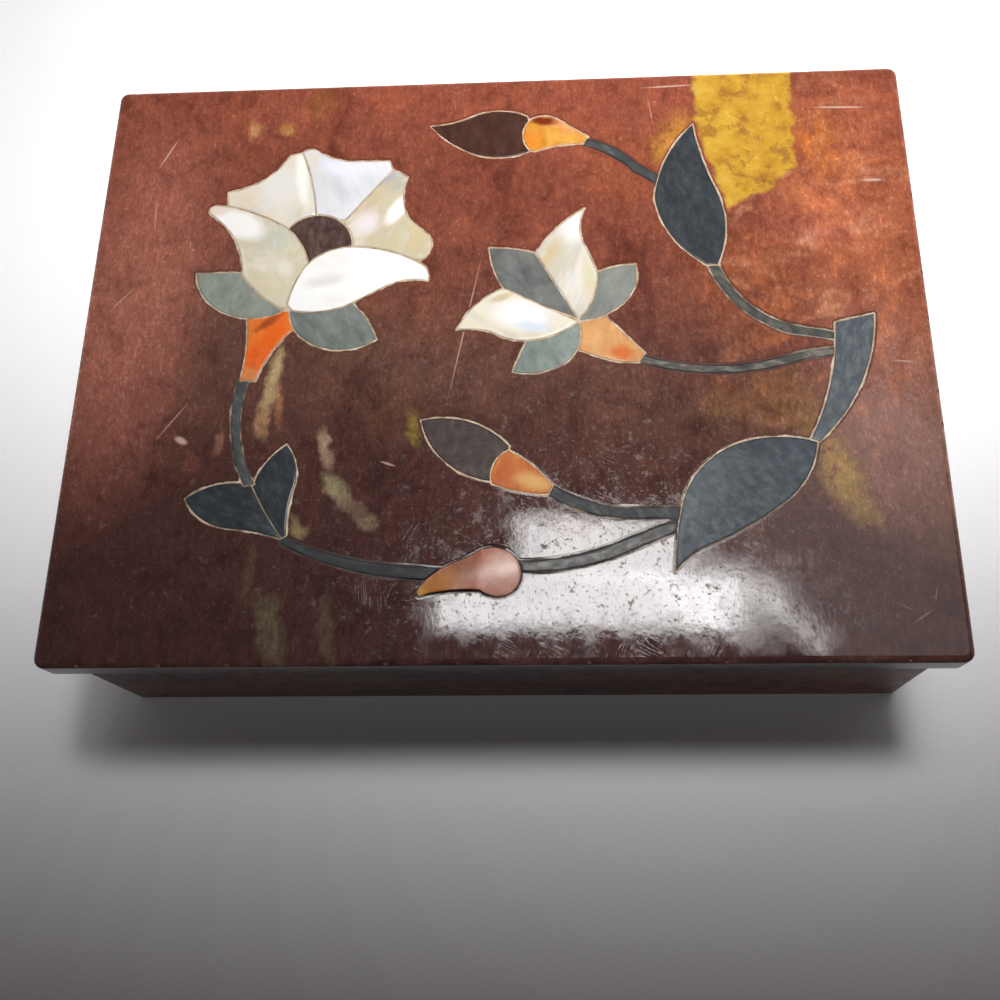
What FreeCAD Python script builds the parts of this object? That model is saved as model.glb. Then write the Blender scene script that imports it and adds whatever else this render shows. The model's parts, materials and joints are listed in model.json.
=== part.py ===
import FreeCAD, Part
import Sketcher
import os

# A low stone trinket box in millimetres. A slab-built base carries an overhanging lid on two small
# brass hinges, and a floral spray of shell and coloured stone is let flush into the lid's top.
# The origin is the middle of the underside, +X runs to the right, +Y to the back and +Z up.

# Driving dimensions
SIZES = {
    # lid
    "lid_length": 114.0,
    "lid_depth": 86.5,
    "lid_thickness": 4.5,
    "lid_corner_radius": 1.3,
    "lid_top_round": 0.8,
    "lid_under_round": 0.5,
    "lid_overhang": 1.6,
    # base
    "base_height": 26.5,
    "base_corner_radius": 0.8,
    "wall_thickness": 6.0,
    "floor_thickness": 5.0,
    "foot_break": 0.5,
    # inlay and its cement
    "inlay_thickness": 1.5,
    "cement_bed": 0.3,
    "cement_line": 0.45,
    "cement_seam": 0.2,
    "bud_rise": 0.5,
    "bud_dome_length": 24.0,
    "bud_dome_width": 11.0,
    "bud_dome_height": 2.4,
    # hinges
    "hinge_inset": 21.5,
    "hinge_length": 16.0,
    "leaf_width": 5.0,
    "leaf_thickness": 0.8,
    "leaf_relief": 0.1,
    "leaf_fit": 0.1,
    "axis_setback": 0.4,
    "knuckle_radius": 1.2,
    "knuckle_room": 0.3,
    "knuckle_gap": 0.15,
    "middle_knuckle": 6.0,
    "pin_radius": 0.55,
    "pin_clearance": 0.04,
    # hinge screws
    "screw_spacing": 9.0,
    "screw_inset": 1.8,
    "screw_length": 2.8,
    "screw_radius": 0.5,
    "screw_clearance": 0.02,
    "screw_head_radius": 1.0,
    "screw_head_height": 0.5,
    "screw_slot_width": 0.3,
    "screw_slot_depth": 0.25,
}

vec = FreeCAD.Vector
UP = vec(0, 0, 1)
ALONG_X = vec(1, 0, 0)

doc = FreeCAD.newDocument("stone_trinket_box")
sheet = doc.addObject("Spreadsheet::Sheet", "Sizes")
for row, (alias, value) in enumerate(SIZES.items(), start=1):
    sheet.set(f"A{row}", str(value))
    sheet.setAlias(f"A{row}", alias)
doc.recompute()

# Formulas that several pieces share
BASE_LENGTH = "(Sizes.lid_length - 2 * Sizes.lid_overhang)"
BASE_DEPTH = "(Sizes.lid_depth - 2 * Sizes.lid_overhang)"
ROOM_LENGTH = f"({BASE_LENGTH} - 2 * Sizes.wall_thickness)"
ROOM_DEPTH = f"({BASE_DEPTH} - 2 * Sizes.wall_thickness)"
LID_TOP = "(Sizes.base_height + Sizes.lid_thickness)"
AXIS_Y = f"({BASE_DEPTH} / 2 + Sizes.axis_setback)"
GROOVE_RADIUS = "(Sizes.knuckle_radius + Sizes.knuckle_room)"

nodes = []


def node(label, piece):
    """Name a finished sub-part."""
    piece.Label = label
    nodes.append(piece)
    return piece


def place(piece, x, y, z):
    """Bind a position to three formulas."""
    piece.setExpression("Placement.Base.x", x)
    piece.setExpression("Placement.Base.y", y)
    piece.setExpression("Placement.Base.z", z)
    return piece


def box(name, length, width, height, at):
    """A block from its lower left front corner."""
    cuboid = doc.addObject("Part::Box", name)
    cuboid.setExpression("Length", length)
    cuboid.setExpression("Width", width)
    cuboid.setExpression("Height", height)
    return place(cuboid, *at)


def rod(name, radius, length, at, axis):
    """A cylinder that starts at a point and runs along an axis."""
    cylinder = doc.addObject("Part::Cylinder", name)
    cylinder.setExpression("Radius", radius)
    cylinder.setExpression("Height", length)
    cylinder.Placement = FreeCAD.Placement(vec(), FreeCAD.Rotation(UP, axis))
    return place(cylinder, *at)


def cone(name, start_radius, end_radius, length, at, axis):
    """A cone that starts at a point and runs along an axis."""
    frustum = doc.addObject("Part::Cone", name)
    frustum.setExpression("Radius1", start_radius)
    frustum.setExpression("Radius2", end_radius)
    frustum.setExpression("Height", length)
    frustum.Placement = FreeCAD.Placement(vec(), FreeCAD.Rotation(UP, axis))
    return place(frustum, *at)


def fuse(name, shapes):
    joined = doc.addObject("Part::MultiFuse", name)
    joined.Shapes = shapes
    joined.Refine = True
    return joined


def cut(name, base, tool):
    remainder = doc.addObject("Part::Cut", name)
    remainder.Base = base
    remainder.Tool = tool
    remainder.Refine = True
    return remainder


def group(name, shapes):
    """Separate solids that share one node."""
    compound = doc.addObject("Part::Compound", name)
    compound.Links = shapes
    return compound


def slab(name, length, depth, height, at):
    """A body padded from a rectangle whose lower left corner is the body's own origin."""
    body = doc.addObject("PartDesign::Body", name)
    place(body, *at)
    floor_plane = next(feature for feature in body.Origin.OriginFeatures if feature.Role == "XY_Plane")
    plan = body.newObject("Sketcher::SketchObject", f"{name}_plan")
    plan.AttachmentSupport = [(floor_plane, "")]
    plan.MapMode = "FlatFace"
    corners = [vec(0, 0, 0), vec(1, 0, 0), vec(1, 1, 0), vec(0, 1, 0)]
    for side, corner in enumerate(corners):
        plan.addGeometry(Part.LineSegment(corner, corners[(side + 1) % 4]), False)
    for side in range(4):
        plan.addConstraint(Sketcher.Constraint("Coincident", side, 2, (side + 1) % 4, 1))
    for side, direction in enumerate(("Horizontal", "Vertical", "Horizontal", "Vertical")):
        plan.addConstraint(Sketcher.Constraint(direction, side))
    plan.addConstraint(Sketcher.Constraint("Coincident", 0, 1, -1, 1))
    for side, (direction, size) in enumerate((("DistanceX", length), ("DistanceY", depth))):
        index = plan.addConstraint(Sketcher.Constraint(direction, side, 1, side, 2, 1.0))
        plan.setExpression(f"Constraints[{index}]", size)
    pad = body.newObject("PartDesign::Pad", f"{name}_pad")
    pad.Profile = plan
    pad.setExpression("Length", height)
    doc.recompute()
    return body


def dress(body, kind, name, measure, size, chosen):
    """Round or chamfer the edges of a body whose bounds pass a test."""
    base = body.Tip
    edges = [f"Edge{n}" for n, edge in enumerate(base.Shape.Edges, start=1) if chosen(edge.BoundBox)]
    feature = body.newObject(f"PartDesign::{kind}", f"{body.Name}_{name}")
    feature.Base = (base, edges)
    feature.setExpression(measure, size)
    doc.recompute()


def near(first, second):
    return abs(first - second) < 1e-4


def is_upright(bounds):
    return near(bounds.XLength, 0) and near(bounds.YLength, 0)


def lies_at(low, high, level):
    return near(low, level) and near(high, level)


# Base: two full-width walls, two between them and a floor let in between all four
def long_wall(name, at_y, outer_is_front):
    """A full-width wall, rounded at its outer corners and eased along its outer foot."""
    wall = slab(name, BASE_LENGTH, "Sizes.wall_thickness", "Sizes.base_height",
                (f"-{BASE_LENGTH} / 2", at_y, "0"))
    thickness = sheet.get("wall_thickness")
    outer, inner = (0, thickness) if outer_is_front else (thickness, 0)
    dress(wall, "Fillet", "corners", "Radius", "Sizes.base_corner_radius",
          lambda edge: is_upright(edge) and near(edge.YMin, outer))
    dress(wall, "Chamfer", "foot", "Size", "Sizes.foot_break",
          lambda edge: near(edge.ZMax, 0) and not lies_at(edge.YMin, edge.YMax, inner))
    return wall


def short_wall(name, at_x, outer_is_left):
    """A wall between the two long ones, eased along its outer foot."""
    wall = slab(name, "Sizes.wall_thickness", ROOM_DEPTH, "Sizes.base_height",
                (at_x, f"-{ROOM_DEPTH} / 2", "0"))
    outer = 0 if outer_is_left else sheet.get("wall_thickness")
    dress(wall, "Chamfer", "foot", "Size", "Sizes.foot_break",
          lambda edge: near(edge.ZMax, 0) and lies_at(edge.XMin, edge.XMax, outer))
    return wall


node("front_wall", long_wall("front_wall", f"-{BASE_DEPTH} / 2", True))
back_wall_blank = long_wall("back_wall_blank", f"{ROOM_DEPTH} / 2", False)
node("left_wall", short_wall("left_wall", f"-{BASE_LENGTH} / 2", True))
node("right_wall", short_wall("right_wall", f"{ROOM_LENGTH} / 2", False))
node("floor_slab", slab("floor_slab", ROOM_LENGTH, ROOM_DEPTH, "Sizes.floor_thickness",
                        (f"-{ROOM_LENGTH} / 2", f"-{ROOM_DEPTH} / 2", "0")))

# Lid blank with its upright corners, upper edge and lower edge rounded
lid_blank = slab("lid_blank", "Sizes.lid_length", "Sizes.lid_depth", "Sizes.lid_thickness",
                 ("-Sizes.lid_length / 2", "-Sizes.lid_depth / 2", "Sizes.base_height"))
dress(lid_blank, "Fillet", "corners", "Radius", "Sizes.lid_corner_radius", is_upright)
dress(lid_blank, "Fillet", "top", "Radius", "Sizes.lid_top_round",
      lambda edge: near(edge.ZMin, sheet.get("lid_thickness")))
dress(lid_blank, "Fillet", "under", "Radius", "Sizes.lid_under_round",
      lambda edge: near(edge.ZMax, 0))


# Hinges: each has two leaves let into the stone, a pin, and two countersunk screws in each leaf
def screw_and_hole(name, x, z, axis):
    """A slotted countersunk screw driven from a leaf's face, and the cutter for its hole."""
    at = (x, f"{AXIS_Y} - Sizes.leaf_width + Sizes.screw_inset", z)
    head = cone(f"{name}_head", "Sizes.screw_head_radius", "Sizes.screw_radius",
                "Sizes.screw_head_height", at, axis)
    shank = rod(f"{name}_shank", "Sizes.screw_radius", "Sizes.screw_length", at, axis)
    slot_base = z if axis.z > 0 else f"{z} - Sizes.screw_slot_depth"
    slot = box(f"{name}_slot", "2 * Sizes.screw_head_radius", "Sizes.screw_slot_width",
               "Sizes.screw_slot_depth",
               (f"{x} - Sizes.screw_head_radius", f"{at[1]} - Sizes.screw_slot_width / 2", slot_base))
    screw = cut(name, fuse(f"{name}_blank", [head, shank]), slot)
    countersink = cone(f"{name}_countersink", "Sizes.screw_head_radius + Sizes.screw_clearance",
                       "Sizes.screw_radius + Sizes.screw_clearance", "Sizes.screw_head_height", at, axis)
    bore = rod(f"{name}_bore", "Sizes.screw_radius + Sizes.screw_clearance",
               "Sizes.screw_length + Sizes.screw_clearance", at, axis)
    return screw, fuse(f"{name}_hole", [countersink, bore])


def hinge_leaf(name, start, low_z, spans, bore_radius, holes):
    """A strip with a tongue and a rolled knuckle over each (place, length) along the hinge axis."""
    strip = box(f"{name}_strip", "Sizes.hinge_length", f"Sizes.leaf_width - {GROOVE_RADIUS}",
                "Sizes.leaf_thickness", (start, f"{AXIS_Y} - Sizes.leaf_width", low_z))
    pieces = [strip]
    for n, (at_x, length) in enumerate(spans, start=1):
        pieces.append(box(f"{name}_tongue_{n}", length, GROOVE_RADIUS, "Sizes.leaf_thickness",
                          (at_x, f"{AXIS_Y} - {GROOVE_RADIUS}", low_z)))
        pieces.append(rod(f"{name}_knuckle_{n}", "Sizes.knuckle_radius", length,
                          (at_x, AXIS_Y, "Sizes.base_height"), ALONG_X))
    bore = rod(f"{name}_bore", bore_radius, "Sizes.hinge_length",
               (start, AXIS_Y, "Sizes.base_height"), ALONG_X)
    return cut(name, fuse(f"{name}_blank", pieces), fuse(f"{name}_holes", [bore] + holes))


def hinge(side, sign):
    """Make one hinge; returns its screws and the cutters for the stone above and below."""
    name = f"{side}_hinge"
    middle = f"({sign} * ({BASE_LENGTH} / 2 - Sizes.hinge_inset))"
    start = f"({middle} - Sizes.hinge_length / 2)"
    base_face = "(Sizes.base_height - Sizes.leaf_relief)"
    lid_face = "(Sizes.base_height + Sizes.leaf_relief)"

    screws = {"base": [], "lid": []}
    holes = {"base": [], "lid": []}
    for part, face, axis in (("base", base_face, -UP), ("lid", lid_face, UP)):
        for end, step in (("left", -1), ("right", 1)):
            at_x = f"({middle} + {step} * Sizes.screw_spacing / 2)"
            screw, hole = screw_and_hole(f"{name}_{part}_{end}_screw", at_x, face, axis)
            screws[part].append(screw)
            holes[part].append(hole)

    outer = "((Sizes.hinge_length - Sizes.middle_knuckle) / 2 - Sizes.knuckle_gap)"
    base_spans = [(start, outer), (f"({start} + Sizes.hinge_length - {outer})", outer)]
    lid_spans = [(f"({middle} - Sizes.middle_knuckle / 2)", "Sizes.middle_knuckle")]
    node(f"{name}_base_leaf",
         hinge_leaf(f"{name}_base_leaf", start, f"{base_face} - Sizes.leaf_thickness", base_spans,
                    "Sizes.pin_radius", holes["base"]))
    node(f"{name}_lid_leaf",
         hinge_leaf(f"{name}_lid_leaf", start, lid_face, lid_spans,
                    "Sizes.pin_radius + Sizes.pin_clearance", holes["lid"]))
    node(f"{name}_pin", rod(f"{name}_pin", "Sizes.pin_radius", "Sizes.hinge_length",
                            (start, AXIS_Y, "Sizes.base_height"), ALONG_X))

    recess_length = "Sizes.hinge_length + 2 * Sizes.leaf_fit"
    recess_x = f"{start} - Sizes.leaf_fit"
    recess_depth = "(Sizes.leaf_thickness + Sizes.leaf_relief)"
    mortise = box(f"{name}_mortise", recess_length, "Sizes.leaf_width + Sizes.leaf_fit",
                  f"2 * {recess_depth}",
                  (recess_x, f"{AXIS_Y} - Sizes.leaf_width - Sizes.leaf_fit",
                   f"Sizes.base_height - {recess_depth}"))
    groove = rod(f"{name}_groove", GROOVE_RADIUS, recess_length,
                 (recess_x, AXIS_Y, "Sizes.base_height"), ALONG_X)
    cutters = {part: [mortise, groove] + holes[part] for part in holes}
    return screws, cutters


left_screws, left_cutters = hinge("left", -1)
right_screws, right_cutters = hinge("right", 1)
for part in ("base", "lid"):
    node(f"{part}_leaf_screws", group(f"{part}_leaf_screws", left_screws[part] + right_screws[part]))
node("back_wall", cut("back_wall", back_wall_blank,
                      fuse("back_wall_recesses", left_cutters["base"] + right_cutters["base"])))

# Inlay. Each outline is drawn from the middle of the lid and stretches with it, in steps of which 114 make
# the lid's length and 88 its depth. Two numbers are a corner reached by a straight line, and four are a
# point on an arc and its end.
inlay_pieces = []
pocket_blocks = []
seam_blocks = {}


def on_lid(x, y):
    """A drawn point on the lid."""
    return vec(x * sheet.get("lid_length") / 114, y * sheet.get("lid_depth") / 88, 0)


def outline(name, path):
    """A closed sketch at the foot of the inlay."""
    plan = doc.addObject("Sketcher::SketchObject", name)
    place(plan, "0", "0", f"{LID_TOP} - Sizes.inlay_thickness")
    start = on_lid(*path[0])
    here = start
    for step in path[1:]:
        end = on_lid(*step[-2:])
        if len(step) == 4:
            plan.addGeometry(Part.Arc(here, on_lid(*step[:2]), end), False)
        else:
            plan.addGeometry(Part.LineSegment(here, end), False)
        here = end
    if not here.isEqual(start, 1e-6):
        plan.addGeometry(Part.LineSegment(here, start), False)
    return plan


def block(name, plan, above, below="0"):
    """A solid from an outline, upwards and downwards from the foot of the inlay."""
    solid = doc.addObject("Part::Extrusion", name)
    solid.Base = plan
    solid.DirMode = "Custom"
    solid.Dir = UP
    solid.Solid = True
    solid.setExpression("LengthFwd", above)
    solid.setExpression("LengthRev", below)
    return solid


def grown(name, plan, margin):
    """An outline widened all round."""
    wider = doc.addObject("Part::Offset2D", name)
    wider.Source = plan
    wider.Join = "Arc"
    wider.setExpression("Value", margin)
    return wider


def trimmed(name, neighbours, path, rise="0"):
    """A flat piece that leaves a seam beside the neighbours set before it, and its place in the pocket."""
    plan = outline(f"{name}_plan", path)
    height = f"Sizes.inlay_thickness + {rise}"
    piece = block(f"{name}_blank", plan, height)
    for other in neighbours:
        piece = cut(f"{name}_beside_{other}", piece, seam_blocks[other])
    seam_blocks[name] = block(f"{name}_seam", grown(f"{name}_seam_plan", plan, "Sizes.cement_seam"), height)
    pocket_blocks.append(block(f"{name}_pocket", grown(f"{name}_pocket_plan", plan, "Sizes.cement_line"),
                               "Sizes.inlay_thickness", "Sizes.cement_bed"))
    inlay_pieces.append(piece)
    return piece


def inlay(name, neighbours, path):
    """One flush piece of the spray."""
    return node(name, trimmed(name, neighbours, path))


# Large flower
inlay("large_flower_front_petal", [], [
    (-28.9, 6.6), (-28.2, 9.6, -26.8, 12.7), (-24.3, 14.7, -20.2, 15.6), (-14.9, 14.6, -10.8, 12.6),
    (-9.9, 11.6, -9.8, 10.0), (-12.6, 10.2, -15.4, 9.4), (-20.2, 6.7), (-24.4, 5.5, -28.2, 5.8)])
inlay("large_flower_left_petal", ["large_flower_front_petal"], [
    (-41.1, 21.9), (-41.2, 22.7, -40.4, 23.1), (-38.5, 22.9), (-34.3, 21.4, -29.8, 18.9),
    (-27.7, 16.2, -26.6, 13.2), (-27.4, 6.4), (-29.7, 6.1), (-32.6, 8.2, -35.6, 11.6),
    (-36.6, 16.2, -38.6, 19.6)])
inlay("large_flower_heart", ["large_flower_front_petal", "large_flower_left_petal"], [
    (-29.6, 18.9), (-25.2, 21.0, -20.6, 15.7), (-23.0, 13.0), (-27.5, 13.0)])
inlay("large_flower_back_left_petal", ["large_flower_left_petal", "large_flower_heart"], [
    (-38.8, 25.4), (-33.2, 27.8, -30.3, 31.5), (-28.6, 31.7), (-27.1, 27.2, -26.0, 20.6),
    (-30.0, 18.4), (-38.6, 22.4)])
inlay("large_flower_back_petal", ["large_flower_heart", "large_flower_back_left_petal"], [
    (-28.6, 31.6), (-27.4, 32.4, -26.0, 31.8), (-23.2, 30.4, -20.0, 30.05), (-15.9, 30.0),
    (-15.4, 28.5), (-21.8, 20.2), (-26.6, 20.4)])
inlay("large_flower_right_petal",
      ["large_flower_front_petal", "large_flower_heart", "large_flower_back_petal"], [
    (-15.4, 28.6), (-13.1, 27.1), (-13.7, 23.9, -12.9, 20.3), (-9.8, 17.2), (-9.4, 15.9, -10.8, 13.4),
    (-14.0, 13.6), (-20.6, 14.8), (-22.2, 19.4)])
inlay("large_flower_left_sepal", ["large_flower_left_petal"], [
    (-42.1, 12.0), (-36.7, 12.0), (-34.0, 11.6), (-29.7, 6.4), (-29.8, 5.6), (-33.8, 4.7, -37.4, 5.5),
    (-40.6, 8.1, -42.1, 12.0)])
inlay("large_flower_right_sepal", ["large_flower_front_petal"], [
    (-28.5, 5.8), (-20.6, 7.2), (-18.0, 4.2, -16.4, 1.0), (-21.8, -0.5, -26.4, 1.3),
    (-27.9, 3.2, -28.5, 5.8)])
inlay("large_flower_calyx",
      ["large_flower_left_petal", "large_flower_front_petal", "large_flower_left_sepal",
       "large_flower_right_sepal"], [
    (-34.3, 4.4), (-34.0, 5.2), (-28.6, 5.6), (-27.9, 2.7), (-30.6, -0.8, -32.4, -4.9), (-34.4, -4.9),
    (-34.0, -0.2, -34.3, 4.4)])
inlay("large_flower_stem", ["large_flower_calyx"], [
    (-34.7, -4.9), (-33.3, -4.9), (-33.9, -11.4, -31.3, -19.9), (-32.6, -20.1),
    (-34.9, -13.0, -34.7, -4.9)])

# Twin leaves
inlay("twin_leaf_left", ["large_flower_stem"], [
    (-40.1, -21.9), (-36.6, -20.1, -33.0, -19.8), (-31.6, -20.3), (-29.7, -23.8, -27.2, -27.5),
    (-30.8, -26.5, -34.5, -26.0), (-37.8, -24.6, -40.1, -21.9)])
inlay("twin_leaf_right", ["large_flower_stem", "twin_leaf_left"], [
    (-27.4, -14.5), (-25.9, -17.8, -26.2, -21.2), (-26.6, -24.2, -26.5, -27.0), (-27.3, -27.6),
    (-31.5, -20.6), (-30.9, -18.7), (-29.4, -16.3, -27.4, -14.5)])

# Low bud between the twin leaves and the broad leaf, a little proud of the lid
bud_blank = trimmed("low_bud", [], [
    (-9.7, -34.7), (-7.8, -32.6, -4.4, -30.8), (-2.4, -29.7), (1.2, -29.4, 3.2, -32.0),
    (2.4, -34.6, 0.4, -35.4), (-0.8, -35.2, -1.8, -34.6), (-5.4, -34.6, -9.4, -35.3)],
    rise="Sizes.bud_rise")
BUD_TILT = 14.0
bud_middle = on_lid(-2.6, -32.5)
bud_dome = doc.addObject("Part::Ellipsoid", "low_bud_dome")
bud_dome.setExpression("Radius1", "Sizes.bud_dome_height")
bud_dome.setExpression("Radius2", "Sizes.bud_dome_length / 2")
bud_dome.setExpression("Radius3", "Sizes.bud_dome_width / 2")
bud_dome.Placement = FreeCAD.Placement(vec(), FreeCAD.Rotation(UP, BUD_TILT))
place(bud_dome, f"{bud_middle.x}", f"{bud_middle.y}",
      f"{LID_TOP} + Sizes.bud_rise - Sizes.bud_dome_height")
low_bud = doc.addObject("Part::Common", "low_bud")
low_bud.Base = bud_blank
low_bud.Tool = bud_dome
node("low_bud", low_bud)
inlay("low_bud_left_stem", ["twin_leaf_left", "twin_leaf_right", "low_bud"], [
    (-27.0, -27.2), (-19.0, -30.1, -11.0, -31.4), (-6.8, -31.7), (-8.4, -33.1),
    (-18.0, -31.8, -27.2, -28.2)])

# Right side of the spray
inlay("broad_leaf", [], [
    (22.2, -32.4), (22.8, -26.6), (23.4, -23.8), (25.8, -18.9, 30.6, -15.4), (35.4, -14.5, 40.8, -15.3),
    (39.2, -20.0, 35.6, -23.8), (31.0, -26.8, 25.6, -29.4), (23.6, -30.9, 22.2, -32.4)])
inlay("main_branch", ["broad_leaf"], [
    (44.6, 2.0), (49.7, 3.2), (47.5, -6.2, 41.0, -15.3), (40.0, -15.0), (43.2, -7.0, 44.6, 2.0)])
inlay("tall_leaf", [], [
    (27.4, 34.8), (23.4, 29.0, 21.6, 22.5), (23.3, 16.8, 28.3, 11.4), (29.7, 11.4),
    (31.1, 17.4, 30.4, 22.8), (28.7, 28.0, 27.6, 33.0)])
inlay("tall_leaf_stem", ["tall_leaf", "main_branch"], [
    (28.3, 11.6), (29.7, 11.6), (33.6, 5.0, 38.6, 1.8), (44.6, 0.5), (44.4, -0.5), (38.4, 0.6),
    (32.0, 5.0, 28.3, 11.6)])
inlay("low_bud_right_stem", ["low_bud", "broad_leaf"], [
    (2.8, -30.9), (9.2, -30.4, 15.0, -28.7), (21.3, -26.1), (23.2, -25.9), (23.4, -26.8), (15.5, -30.2),
    (9.8, -31.8, 2.8, -32.1)])

# Side bud
inlay("side_bud_calyx", [], [
    (1.5, -15.8), (4.5, -17.9, 7.2, -20.9), (6.6, -21.9), (3.2, -21.5, -0.5, -20.4),
    (-0.2, -17.5, 1.5, -15.8)])
inlay("side_bud_leaf", ["side_bud_calyx"], [
    (-9.9, -11.3), (-3.6, -11.6, 1.6, -15.2), (0.8, -18.6), (-0.8, -20.0), (-6.4, -17.4, -9.9, -11.3)])
inlay("side_bud_stem", ["side_bud_calyx", "broad_leaf", "low_bud_right_stem"], [
    (7.0, -20.7), (12.4, -23.2, 19.0, -23.9), (23.6, -24.1), (23.4, -25.6), (19.6, -25.3),
    (12.8, -24.8, 8.0, -22.9), (6.4, -21.8)])

# Top bud
inlay("top_bud_calyx", [], [
    (4.5, 36.7), (6.6, 37.0, 8.6, 36.1), (12.4, 33.2), (11.8, 32.1), (8.4, 31.9, 5.0, 31.0),
    (4.3, 31.2), (3.3, 33.8, 4.5, 36.7)])
inlay("top_bud_leaf", ["top_bud_calyx"], [
    (-10.1, 35.9), (-7.3, 36.2, -4.6, 37.1), (-0.6, 38.2, 3.8, 37.1), (4.6, 34.0), (4.0, 31.0),
    (0.4, 30.1, -3.4, 30.7), (-7.0, 32.8, -10.1, 35.9)])
inlay("top_bud_stem", ["top_bud_calyx", "tall_leaf"], [
    (12.0, 32.9), (16.4, 30.9, 19.5, 28.1), (22.6, 26.0), (21.8, 25.0), (19.0, 26.9),
    (15.9, 29.8, 11.8, 31.8)])

# Small flower
inlay("small_flower_top_petal", [], [
    (10.8, 3.5), (5.1, 13.9), (7.8, 17.7, 11.9, 21.0), (11.1, 18.0, 12.0, 14.4), (13.4, 10.4),
    (12.9, 7.2, 10.8, 3.5)])
inlay("small_flower_left_petal", ["small_flower_top_petal"], [
    (-5.5, 2.2), (-3.3, 5.6, -0.2, 8.0), (0.9, 8.2, 1.9, 7.7), (10.6, 3.0), (7.2, 1.0, 3.4, 0.3),
    (1.2, 0.7, -1.0, 1.8), (-3.2, 2.2, -5.5, 2.2)])
inlay("small_flower_back_sepal", ["small_flower_top_petal", "small_flower_left_petal"], [
    (-1.3, 14.9), (2.0, 14.6, 5.2, 13.8), (10.6, 3.6), (1.2, 7.8), (-0.5, 11.0, -1.3, 14.9)])
inlay("small_flower_right_sepal", ["small_flower_top_petal"], [
    (13.2, 10.5), (16.0, 11.4, 18.6, 11.7), (18.0, 7.4, 14.9, 4.4), (13.0, 3.5, 10.9, 3.2)])
inlay("small_flower_low_sepal", ["small_flower_left_petal"], [
    (2.0, -4.4), (4.0, 0.6), (10.7, 2.9), (10.7, -0.6, 8.6, -3.4), (5.6, -4.5, 2.0, -4.4)])
inlay("small_flower_calyx", ["small_flower_right_sepal", "small_flower_low_sepal"], [
    (11.0, 2.8), (14.5, 3.6), (19.4, -2.0), (18.7, -3.3), (16.2, -3.2), (13.8, -2.5, 10.6, -1.2)])
inlay("small_flower_stem", ["small_flower_calyx", "main_branch", "tall_leaf_stem"], [
    (18.9, -2.3), (30.0, -4.1, 40.0, -2.2), (44.4, -1.7), (44.0, -2.8), (40.2, -3.3),
    (30.0, -5.1, 18.8, -3.3)])

# Lid slab with its recesses, and the cement that fills the pocket round the inlay
inlay_pocket = fuse("inlay_pocket", pocket_blocks)
node("setting_cement", cut("setting_cement", inlay_pocket, fuse("inlay_bodies", inlay_pieces)))
node("lid_slab", cut("lid_slab", lid_blank,
                     fuse("lid_recesses", [inlay_pocket] + left_cutters["lid"] + right_cutters["lid"])))

doc.recompute()

# Nothing is written unless every object is sound
failed = [obj.Name for obj in doc.Objects if {"Invalid", "Error"} & set(obj.State)]
failed += [piece.Label for piece in nodes if piece.Shape.isNull() or not piece.Shape.isValid()]
if failed:
    raise RuntimeError(f"unsound objects: {failed}")

os.makedirs("parts", exist_ok=True)
for piece in nodes:
    piece.Shape.exportStep(f"parts/{piece.Label}.step")
    print(f"{piece.Label}: {len(piece.Shape.Solids)} solids, {piece.Shape.Volume:.1f} mm3")
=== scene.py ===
import json
import math
import random

import bmesh
import bpy
import numpy as np
from mathutils import Matrix, Vector, noise
from mathutils.geometry import delaunay_2d_cdt

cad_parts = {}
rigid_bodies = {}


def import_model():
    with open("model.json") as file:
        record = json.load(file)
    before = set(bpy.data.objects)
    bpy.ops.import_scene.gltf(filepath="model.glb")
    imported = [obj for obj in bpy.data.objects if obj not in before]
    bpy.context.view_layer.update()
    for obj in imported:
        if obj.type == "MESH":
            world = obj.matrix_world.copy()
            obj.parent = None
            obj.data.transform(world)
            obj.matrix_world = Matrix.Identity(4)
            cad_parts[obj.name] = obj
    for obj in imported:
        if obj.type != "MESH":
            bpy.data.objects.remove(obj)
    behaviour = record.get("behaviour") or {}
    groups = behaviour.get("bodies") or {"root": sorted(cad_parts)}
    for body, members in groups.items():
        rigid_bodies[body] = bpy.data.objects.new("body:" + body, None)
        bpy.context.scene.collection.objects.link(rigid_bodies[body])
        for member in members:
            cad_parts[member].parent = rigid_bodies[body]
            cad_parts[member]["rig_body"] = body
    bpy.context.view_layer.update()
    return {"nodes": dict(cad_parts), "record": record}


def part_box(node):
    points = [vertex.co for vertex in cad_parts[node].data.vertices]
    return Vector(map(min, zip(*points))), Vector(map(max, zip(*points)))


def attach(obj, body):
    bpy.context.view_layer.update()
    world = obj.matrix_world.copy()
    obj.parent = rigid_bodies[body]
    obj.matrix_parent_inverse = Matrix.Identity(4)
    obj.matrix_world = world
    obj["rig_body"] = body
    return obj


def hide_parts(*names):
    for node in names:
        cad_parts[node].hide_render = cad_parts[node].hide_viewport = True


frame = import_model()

MM = 0.001
NODES = frame["nodes"]
SLOTS = {entry["node"]: entry["material_slot"] for entry in frame["record"]["subparts"]}
LID_LOW, LID_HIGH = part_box("lid_slab")
LID_TOP = LID_HIGH.z
HALF_X = LID_HIGH.x / MM
HALF_Y = LID_HIGH.y / MM
# the lid's drawing has 114 steps along its length and 88 along its depth, each about a millimetre
HALF_STEPS_X = 57.0
HALF_STEPS_Y = 44.0
STEPS = Vector((HALF_STEPS_X / HALF_X, HALF_STEPS_Y / HALF_Y, 1.0))


# Materials. All of them are drawn in the steps of the part's own frame, so they stay on their pieces.
def srgb(red, green, blue):
    """A display colour, 0 to 255, as a linear colour."""
    def linear(c):
        c /= 255
        return c / 12.92 if c < 0.04045 else ((c + 0.055) / 1.055) ** 2.4
    return (linear(red), linear(green), linear(blue), 1.0)


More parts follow.
